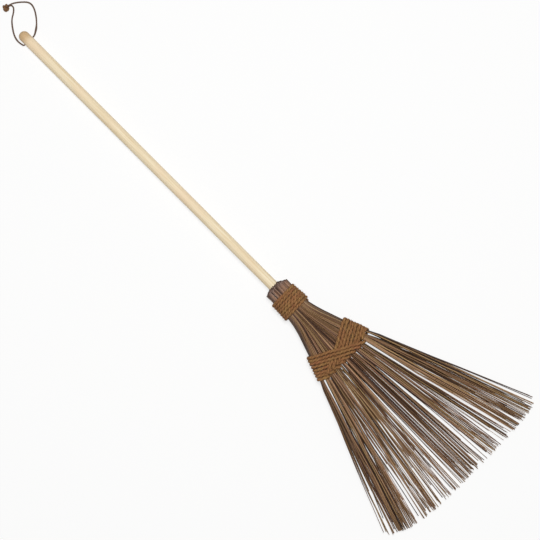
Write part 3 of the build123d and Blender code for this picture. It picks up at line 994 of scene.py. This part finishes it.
slit_y, slit_width, slit_closes = np.array(DIVE_SLITS, float).T
slit_y = np.append(slit_y, rng.uniform(-FAN_HALF_AT_LASHING, FAN_HALF_AT_LASHING, FREE_SLITS))
slit_width = np.append(slit_width, rng.uniform(*FREE_SLIT_WIDTHS, FREE_SLITS))
slit_closes = np.append(slit_closes, rng.uniform(*FREE_SLIT_CLOSES, FREE_SLITS))
is_free = np.arange(len(slit_y)) >= len(DIVE_SLITS)
slit_width *= np.where(is_free & within(slit_y, DENSE_AT_LASHING), SHUT_WIDTH, 1)
slit_opens = np.where(is_free, FREE_SLIT_OPENS, DIVE_SLIT_OPENS)
slit_station = np.where(is_free, rng.uniform(*FREE_SLIT_STATIONS, len(slit_y)), DIVE)
off_slit = lashing_y[:, None] - slit_y
push = np.sign(off_slit) * slit_width / 2 * np.exp(-np.abs(off_slit) / PUSH_REACH)
past = stations[..., None] - slit_station
opened = np.where(past < 0, np.exp(-((past / slit_opens) ** 4)), np.exp(-np.abs(past) / slit_closes))
fan_y += np.sum(push[:, None] * opened, axis=2)
drawn_in = RIB_DRAW * share_past(np.abs(lashing_y), DRAW_FROM, DRAW_RUN) ** 2 * np.sign(lashing_y)
fan_y -= drawn_in[:, None] * np.exp(-(((stations - DRAW_STATION) / DRAW_REACH) ** 4))
print(len(slit_y), "slits, edges drawn in by up to", np.abs(drawn_in).max().round(1), "mm")

# %% [markdown]
# ## Heights and thickness of the ribs
# Heights run straight from the neck to the lashing and on to the tips, each rib on its own level. A rib
# is a square tube: four sides are enough for a stick of a pixel's width, and smooth shading rounds it.
# It tapers towards its tip, and some ribs are thicker than others.

# %% Whole paths and radii
HEIGHT_BOW = 0.8
RIB_LOWEST = 0.9
RIB_SIDES = 4
RIB_RADII = [(RIM, 1.25), (NECK_END, 1.25), (1003, 1.4), (1110, 1.06), (1290, 0.8), (TIPS, 0.76)]
THICKNESS_SPREAD = 0.16
THICKNESS_LIMITS = (0.7, 1.4)

neck_height = on_handle(NECK_END, neck_y, neck_z)[:, 2]
lashing_height = FAN_HEIGHTS[1] + face * lashing_z
fan_z = neck_height[:, None] + fan_share * (lashing_height - neck_height)[:, None]
fan_z += tail_share * (tip_z - lashing_height)[:, None]
fan_z += rng.normal(0, HEIGHT_BOW, (ribs, 1)) * np.sin(np.pi * tail_share)
in_fan = np.stack([START + stations, fan_y, fan_z], axis=-1)
rib_paths = np.where((stations <= NECK_END)[..., None], in_neck, in_fan)
rib_paths[..., 2] = np.maximum(rib_paths[..., 2], RIB_LOWEST)
rib_paths[..., 1] += head_shift(stations)

thickness = np.clip(rng.lognormal(0, THICKNESS_SPREAD, ribs), *THICKNESS_LIMITS)
rib_radii = from_table(stations, RIB_RADII) * thickness[:, None]
rib_radii = np.repeat(rib_radii[..., None], RIB_SIDES, axis=2)
print("rib paths", rib_paths.shape, "longest", length_along(rib_paths)[:, -1].max().round(), "mm")

# %% [markdown]
# ## Tones of the ribs
# No two ribs have the same brown. One noise over the whole fan would paint patches across the ribs, so
# each rib gets a tone of its own, with a little from its clump. Along the broom the tones are evened out
# near the neck, darkened with painted shade between the neck and the lashing, and grow paler to the tips.
# Deep rows and the fan's edges are also darkened, which is painted shade. The hue goes to a cool grey at
# the rim, where the cut ends have weathered.

# %% Tones and hues
MEAN_TONE = 0.58
CLUMP_TONES = 0.05
RIB_TONES = 0.32
EVENNESS = [(NECK_START, 0.9), (NECK_END, 0.62), (DIVE, 0.75), (1110, 1)]
TONES_AND_PAINTED_SHADE_ALONG = [(RIM, 0.1), (NECK_END, -0.05), (960, -0.09), (1070, 0.11), (TIPS, 0.19)]
PAINTED_DEPTH_SHADE = 0.55
PAINTED_DEPTH_SHADE_LOST = 0.85
PAINTED_EDGE_SHADE = 0.3
PAINTED_EDGE_SHADE_FROM = 62.0
PAINTED_EDGE_SHADE_RUN = 13.0
PAINTED_EDGE_SHADES_ALONG = [(NECK_END, 0), (960, 1), (1250, 1), (TIPS, 0.3)]
HUES_ALONG = [(RIM, 0), (NECK_START, 0.25), (NECK_END, 1)]

own_tones = rng.normal(MEAN_TONE, CLUMP_TONES, clumps)[clump] + rng.normal(0, RIB_TONES, ribs)
tones = MEAN_TONE + (own_tones[:, None] - MEAN_TONE) * from_table(stations, EVENNESS)
# Painted shade on the deep rows, fading out towards the tips.
tones -= PAINTED_DEPTH_SHADE * depth[:, None] * (1 - PAINTED_DEPTH_SHADE_LOST * tail_share)
# Along the broom: paler at the rim and the tips, with a dip between the neck and the lashing that is
# painted shade.
tones += from_table(stations, TONES_AND_PAINTED_SHADE_ALONG)
# Painted shade along both edges of the fan.
edge_shade_share = share_past(np.abs(lashing_y), PAINTED_EDGE_SHADE_FROM, PAINTED_EDGE_SHADE_RUN)
tones -= PAINTED_EDGE_SHADE * edge_shade_share[:, None] * from_table(stations, PAINTED_EDGE_SHADES_ALONG)
hues = rng.random((ribs, 1)) * from_table(stations, HUES_ALONG)
print("tones around", tones.mean().round(2))

# %% [markdown]
# ## Rib material
# An ekel is the dry middle rib of a palm leaflet: brown, some purplish and some olive, slightly glossy
# on its hard skin, with fine streaks along it. Each rib carries its own tone and hue as attributes, and
# its place along and across itself, so that the streaks follow every rib whichever way it runs.

# %% Rib material
# Dry palm leaf rib, scraped: hard fibrous skin with a low sheen and streaks along the rib.
STREAK_WIDTH = 0.5
STREAK_LENGTH = 30.0
STREAK_SHADE = 0.5

rib_skin, tree = new_material("palm_leaf_rib_dried")
place = add_node(tree, "ShaderNodeAttribute", {}, attribute_name="place").outputs["Vector"]
# The tone holds the painted shade of deep rows, of the fan's edges and of the stretch behind the neck.
tone = add_node(tree, "ShaderNodeAttribute", {}, attribute_name="tone").outputs["Fac"]
hue = add_node(tree, "ShaderNodeAttribute", {}, attribute_name="hue").outputs["Fac"]
streak = streaks(tree, place, STREAK_LENGTH, STREAK_WIDTH, detail=3.0)
shade = add_node(
    tree, "ShaderNodeMath", {0: streak, 1: STREAK_SHADE, 2: -STREAK_SHADE / 2}, operation="MULTIPLY_ADD"
)
shade = add_node(tree, "ShaderNodeMath", {0: shade.outputs[0], 1: tone}, operation="ADD")
browns = [(0.1, "#3A2515"), (0.9, "#BC9F7E"), (0.5, "#84664A")]
brown = add_node(tree, "ShaderNodeValToRGB", {"Fac": shade.outputs[0]}, browns)
purple_to_olive_and_grey = [(0.15, "#F0DBDA"), (0.85, "#EEE6CA"), (0.0, "#D6D4F4")]
tint = add_node(tree, "ShaderNodeValToRGB", {"Fac": hue}, purple_to_olive_and_grey)
colour = add_node(
    tree,
    "ShaderNodeMix",
    {MIX_SHARE: 1.0, MIX_FROM: brown.outputs["Color"], MIX_TO: tint.outputs["Color"]},
    data_type="RGBA",
    blend_type="MULTIPLY",
)
finish_surface(tree, colour.outputs[MIX_RESULT], streak, depth=0.2, strength=0.4, roughness=0.5, gloss=0.35)
print("rib material", rib_skin.name)

# %% [markdown]
# ## Half bundles
# All ribs of one half bundle become one mesh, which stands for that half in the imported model. An object
# for each rib would work too, but hundreds of objects are slow to handle. Each rib's streaks start at a
# place of their own, so that no two ribs look alike.

# %% Half bundles of ribs
STREAK_SHIFT = 40.0
streak_along = length_along(rib_paths) + STREAK_SHIFT * rng.random((ribs, 1))
for number in range(BUNDLES):
    for side, label in ((FRONT, "front"), (BACK, "back")):
        members = np.flatnonzero((bundle == number) & (face == side))
        points, faces = tubes(rib_paths[members], (0, 0, 1), rib_radii[members])
        attributes = {
            "tone": np.repeat(tones[members], RIB_SIDES),
            "hue": np.repeat(hues[members], RIB_SIDES),
            "place": straightened(streak_along[members], rib_radii[members]),
        }
        name = f"{label}_ribs_{number + 1}"
        half = add_piece(name, "broom", rib_skin, points, faces, attributes)
        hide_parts(f"{label}_ekels_{number + 1}")
        print(name, len(members), "ribs")

# %% [markdown]
# ## Coir rope
# Both ropes are coir, the fibre of coconut husk, spun into two plies. It is coarse and hairy, golden
# brown on its crests, with redder and yellower stretches, and its grooves are darkened with painted
# shade. The material takes the groove and the straightened place from the rope's own attributes, so it
# follows every turn.

# %% Coir material
# Coir, spun and laid in two plies: rough, matt, with coarse fibres along each ply.
COIR_FIBRE_WIDTH = 0.7
COIR_FIBRE_LENGTH = 7.0
COIR_PATCH = 40.0
COIR_PAINTED_GROOVE_SHADE = 0.4

coir, tree = new_material("coir_rope_two_ply")
place = add_node(tree, "ShaderNodeAttribute", {}, attribute_name="place").outputs["Vector"]
groove = add_node(tree, "ShaderNodeAttribute", {}, attribute_name="groove").outputs["Fac"]
fibre = streaks(tree, place, COIR_FIBRE_LENGTH, COIR_FIBRE_WIDTH, detail=4.0)
tone = add_node(tree, "ShaderNodeValToRGB", {"Fac": fibre}, [(0.36, "#70503A"), (0.66, "#C09C76")])
patch = add_node(tree, "ShaderNodeTexNoise", {"Vector": place, "Scale": 1 / COIR_PATCH, "Detail": 2.0})
red_to_yellow = [(0.35, "#EFCDBB"), (0.65, "#F4EBC6")]
tint = add_node(tree, "ShaderNodeValToRGB", {"Fac": patch.outputs["Fac"]}, red_to_yellow)
tinted = add_node(
    tree,
    "ShaderNodeMix",
    {MIX_SHARE: 1.0, MIX_FROM: tone.outputs["Color"], MIX_TO: tint.outputs["Color"]},
    data_type="RGBA",
    blend_type="MULTIPLY",
)
# Painted shade: the grooves between the plies are darkened towards a dark brown.
painted_groove = add_node(tree, "ShaderNodeMath", {0: groove, 1: COIR_PAINTED_GROOVE_SHADE}, operation="MULTIPLY")
colour = add_node(
    tree,
    "ShaderNodeMix",
    {MIX_SHARE: painted_groove.outputs[0], MIX_FROM: tinted.outputs[MIX_RESULT], MIX_TO: linear("#5E3C20")},
    data_type="RGBA",
)
finish_surface(tree, colour.outputs[MIX_RESULT], fibre, depth=0.5, strength=0.7, roughness=0.9, gloss=0.2)
print("coir material", coir.name)

# %% [markdown]
# ## Binding
# Seven tight turns of rope hold the ribs on the handle. Rings side by side would look much the same, but
# a real binding is one rope, so its line is a helix round the handle's axis on the tapering neck. At
# both ends the rope tucks under, so there the helix sinks into the ribs.

# %% Binding rope
ROPE_RADIUS = 3.0
ROPE_CREST = 3.75
ROPE_CLEARANCE = 0.4
ROPE_PLIES = 2
ROPE_LAY = 21.0
ROPE_RIPPLE = 0.06
BINDING = 820.0
BINDING_TURNS = 7
BINDING_PITCH = 6.5
BINDING_START = math.radians(-40)
BINDING_STEPS = 1600
BINDING_SIDES = 18
TUCK_TURN = math.radians(28)
TUCK_DEPTH = 4.0
PITCH_WAVE = (0.35, 1.31)
RADIUS_WAVE = (0.2, 0.83)


def binding_line(count):
    """Helix on the neck: the station grows by one pitch a turn, the radius is the neck's plus the
    rope's, and both ends sink by the tuck depth over the tuck's angle. Slow waves, each given by its size
    and speed, loosen it."""
    turn = np.linspace(-TUCK_TURN, 2 * np.pi * BINDING_TURNS + TUCK_TURN, count)
    station = BINDING + ROPE_RADIUS + BINDING_PITCH * turn / (2 * np.pi)
    station += PITCH_WAVE[0] * np.sin(PITCH_WAVE[1] * turn)
    past_end = np.maximum(np.maximum(-turn, turn - 2 * np.pi * BINDING_TURNS), 0) / TUCK_TURN
    radius = neck_radius(station) + ROPE_CLEARANCE + ROPE_RADIUS - TUCK_DEPTH * past_end**2
    radius += RADIUS_WAVE[0] * np.sin(RADIUS_WAVE[1] * turn)
    angle = BINDING_START + turn
    return on_handle(station, radius * np.cos(angle) + head_shift(station), radius * np.sin(angle))


binding_path = binding_line(BINDING_STEPS)
points, faces, attributes = twisted_rope(
    binding_path, (1, 0, 0), ROPE_CREST, ROPE_PLIES, ROPE_LAY, BINDING_SIDES, ROPE_RIPPLE, seed=21
)
binding = add_piece("binding_rope_turns", "broom", coir, points, faces, attributes)
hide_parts("binding_rope")
print("binding", length_along(binding_path)[-1].round(), "mm of rope")

# %% [markdown]
# ## Crossed lashing
# The lashing is one long rope. It comes round the fan's left edge, runs slantwise over the front, dives
# between two bundles to the back, goes on to the right edge, comes to the front again, and dives through
# the same slit. Each round is shifted by one bundle, so the strands fill a broad V. Two flat bands would
# be simpler, but only the whole route gives the right crossings. A strand needs a few points, and their
# heights come from the fan's own thickness.

# %% Points of the lashing
STRANDS = 8
STRAND_GAP = 1.1
LAYER_RISE = 5.4
TIP_CHANNEL_PITCH = 35.2
EDGE_SLOPE = 0.3564
EDGE_CLEARANCE = 0.8
EDGE_REACH = FAN_HALF_AT_LASHING + EDGE_CLEARANCE + ROPE_RADIUS - EDGE_DRAW
SLANT_RISE = math.tan(math.asin((2 * ROPE_RADIUS + STRAND_GAP) / CHANNEL_PITCH))
ROW_B = LASHING + ROPE_RADIUS + ROPE_CLEARANCE
ROW_A = ROW_B + SLANT_RISE * CHANNEL_PITCH
LEFT, RIGHT = -1, 1


def channel_y(strand, row_station):
    """Middle of the channel that a strand dives through: its count from the fan's middle times a pitch
    that grows straight from the lashing to the tips."""
    pitch = np.interp(row_station, [LASHING, TIPS], [CHANNEL_PITCH, TIP_CHANNEL_PITCH])
    return ((STRANDS - 1) / 2 - strand) * pitch


def strand_point(row_station, strand, side, reach_y, layer, face_side):
    """Point of a slanting strand: it meets its channel on the row, and every millimetre out from there
    takes it back by the slant's rise. It lies on the fan's face, a layer's rise higher on a layer."""
    station = row_station - SLANT_RISE * (reach_y - side * channel_y(strand, row_station))
    lift = fan_half_thickness(station) + ROPE_CLEARANCE + ROPE_RADIUS + layer * LAYER_RISE
    return (START + station, side * reach_y, fan_height(station) + face_side * lift)


def edge_reach(row_station, strand, side):
    """How far out the slanting strand meets the fan's sloping edge: where the two straight lines cross."""
    along_edge = EDGE_SLOPE * (row_station - LASHING + SLANT_RISE * side * channel_y(strand, row_station))
    return (EDGE_REACH + along_edge) / (1 + EDGE_SLOPE * SLANT_RISE)


print("strands slant by", round(math.degrees(math.atan(SLANT_RISE)), 1), "degrees")

# %% [markdown]
# ## Four runs of a round
# Each round of the lashing has four runs, two over the front and two over the back. They could be drawn
# one by one, but then a change of size would break them. So a run is a list of distances out from the
# middle, each with its layer: flat on the fan, or over other strands. The three longest strands from the
# left lie over all the others, and the three longest from the right pass under them and come up again.

# %% Runs of the lashing
# Distances along a run: round a turn, of a loose tail, up to a crossing, down to the edge, and under.
LONG_STRANDS = 3
TURN_RUN = 8.0
TAIL = 14.0
CLIMB_FROM = 16.0
CLIMBED = 6.0
SETTLE_FROM = 7.1
SETTLED = 6.0
UNDER = (6.0, -1.0)
RISEN = 9.0
DROP_FROM = 3.0


def front_from_left(strand):
    """Front run from the left edge to its dive. Long strands climb over the others on their way."""
    edge_y = edge_reach(ROW_A, strand, LEFT)
    dive_y = -channel_y(strand, ROW_A)
    over = strand < LONG_STRANDS
    run = [(edge_y, 0), (edge_y - TURN_RUN, 0)]
    if over:
        meets = -(channel_y(strand, ROW_A) + channel_y(STRANDS - 1, ROW_B)) / 2 + CHANNEL_PITCH / 2
        run += [(meets + CLIMB_FROM, 0), (meets + CLIMBED, 1)]
    run += [(dive_y + TURN_RUN, over), (dive_y, over)]
    return [strand_point(ROW_A, strand, LEFT, y, layer, FRONT) for y, layer in run]


def back_to_right(strand):
    """Back run from that dive to the right edge, over the other strands and then down to the fan."""
    edge_y = edge_reach(ROW_A, strand, RIGHT)
    dive_y = channel_y(strand, ROW_A)
    settle_y = (STRANDS - strand) * CHANNEL_PITCH / 2 + SETTLE_FROM
    run = [(dive_y, 1), (dive_y + TURN_RUN, 1), (settle_y, 1), (edge_y - SETTLED, 0), (edge_y, 0)]
    return [strand_point(ROW_A, strand, RIGHT, y, layer, BACK) for y, layer in run]


def front_from_right(strand):
    """Front run from the right edge to its dive. The long ones go under those from the left, then up."""
    edge_y = edge_reach(ROW_B, strand, RIGHT)
    dive_y = channel_y(strand, ROW_B)
    over = strand >= STRANDS - LONG_STRANDS
    run = [(edge_y, 0), (edge_y - TURN_RUN, 0)]
    if over:
        under_y = (channel_y(LONG_STRANDS - 1, ROW_A) + dive_y) / 2 - CHANNEL_PITCH / 2
        run += [(under_y + UNDER[0], 0), (under_y + UNDER[1], 0)]
        run += [(under_y - RISEN, 1), (dive_y + DROP_FROM, 1)]
    else:
        run += [(dive_y + TURN_RUN, 0)]
    run += [(dive_y, over)]
    return [strand_point(ROW_B, strand, RIGHT, y, layer, FRONT) for y, layer in run]


def back_to_left(strand):
    """Back run from that dive to the left edge, flat on the fan. The last one ends there as a tail."""
    edge_y = edge_reach(ROW_B, strand, LEFT)
    dive_y = -channel_y(strand, ROW_B)
    run = [(dive_y, 0), (dive_y + TURN_RUN, 0)]
    run += [(TAIL + dive_y, 0)] if strand == 0 else [(edge_y - TURN_RUN, 0), (edge_y, 0)]
    return [strand_point(ROW_B, strand, LEFT, y, layer, BACK) for y, layer in run]


print("first front run starts at", np.round(front_from_left(STRANDS - 1)[0], 1), "mm")

# %% [markdown]
# ## Whole route of the lashing
# The rope starts with a tail on the back and goes round after round, from the left-hand bundles to the
# right-hand ones, until a second tail. A piece for each run would show seams, so all runs join in one list.

# %% Route of the lashing
first_edge = edge_reach(ROW_B, STRANDS, LEFT)
route = [strand_point(ROW_B, STRANDS, LEFT, y, 0, BACK) for y in (first_edge - TAIL, first_edge)]
for strand in reversed(range(STRANDS)):
    route += front_from_left(strand) + back_to_right(strand)
    route += front_from_right(strand) + back_to_left(strand)
print("lashing route", len(route), "points")

# %% [markdown]
# ## Rope of the lashing
# The route has corners where the rope bends round an edge or dives. Stiff rope turns in soft bends, so a
# soft line rounds them, and slow waves keep the strands from lying like ruled lines. The same twisted
# rope as in the binding runs along it.

# %% Lashing rope
LASHING_STEPS = 24
LASHING_SIDES = 16
LASHING_WAVES = ((0.6, 17.0), (0.4, 7.3))

lashing_path = spline_through("lashing_line", np.array(route), LASHING_STEPS)
lashing_along = length_along(lashing_path)
lashing_path[:, 0] += sum(size * np.sin(lashing_along / stretch) for size, stretch in LASHING_WAVES)
lashing_path[:, 1] += head_shift(lashing_path[:, 0] - START)
points, faces, attributes = twisted_rope(
    lashing_path, (1, 0, 0), ROPE_CREST, ROPE_PLIES, ROPE_LAY, LASHING_SIDES, ROPE_RIPPLE, seed=22
)
lashing = add_piece("lashing_rope_strands", "broom", coir, points, faces, attributes)
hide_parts("lashing_rope")
print("lashing", lashing_along[-1].round(), "mm,", len(lashing_path), "rings")

# %% [markdown]
# ## Loose fibres
# Coir is hairy: stiff fibres stand off the rope everywhere. Blender's own hair would be lost in the
# exported mesh, so each hair is a tiny three-sided tube that leaves the rope along it and bends away.
# They are thin and short, enough to roughen the outline.

# %% Hairs on both ropes
HAIR_RADIUS = 0.13
HAIR_TIP = 0.4
HAIR_RINGS = 4
HAIR_SIDES = 3
HAIR_ROOT = 0.85
HAIR_LONGEST = 6.0
HAIR_LENGTHS = (0.3, 1.0)
HAIR_SIDEWAYS = 0.7
HAIR_LIFTS = (0.3, 1.0)


def loose_fibres(path, count, seed):
    """Hairs on a rope: point at share t is the base plus length times (t along the rope and to the
    side, plus t squared away from it)."""
    rng = np.random.default_rng(seed)
    at = rng.integers(2, len(path) - 2, count)
    way = unit(path[at + 1] - path[at - 1])
    first, second = square_to(way, np.array([1.0, 0.0, 0.0]))
    angle = rng.uniform(0, 2 * np.pi, (count, 1))
    out = np.cos(angle) * first + np.sin(angle) * second
    side = np.cross(way, out)
    share = np.linspace(0, 1, HAIR_RINGS)[:, None]
    length = HAIR_LONGEST * rng.uniform(*HAIR_LENGTHS, (count, 1, 1))
    slant = way * rng.choice([-1, 1], (count, 1)) + side * rng.normal(0, HAIR_SIDEWAYS, (count, 1))
    lift = out * rng.uniform(*HAIR_LIFTS, (count, 1))
    bends = slant[:, None] * share + lift[:, None] * share**2
    paths = (path[at] + out * ROPE_CREST * HAIR_ROOT)[:, None] + length * bends
    taper = np.linspace(1, HAIR_TIP, HAIR_RINGS)[:, None]
    radii = HAIR_RADIUS * taper * np.ones((count, 1, HAIR_SIDES))
    points, faces = tubes(paths, side[:, None], radii)
    attributes = {"groove": np.zeros(len(points)), "place": straightened(length_along(paths), radii)}
    return points, faces, attributes


for name, path, count, seed in (
    ("binding_fibres", binding_path, 1000, 31),
    ("lashing_fibres", lashing_path, 1800, 32),
):
    points, faces, attributes = loose_fibres(path, count, seed)
    add_piece(name, "broom", coir, points, faces, attributes)
    print(name, count, "hairs")
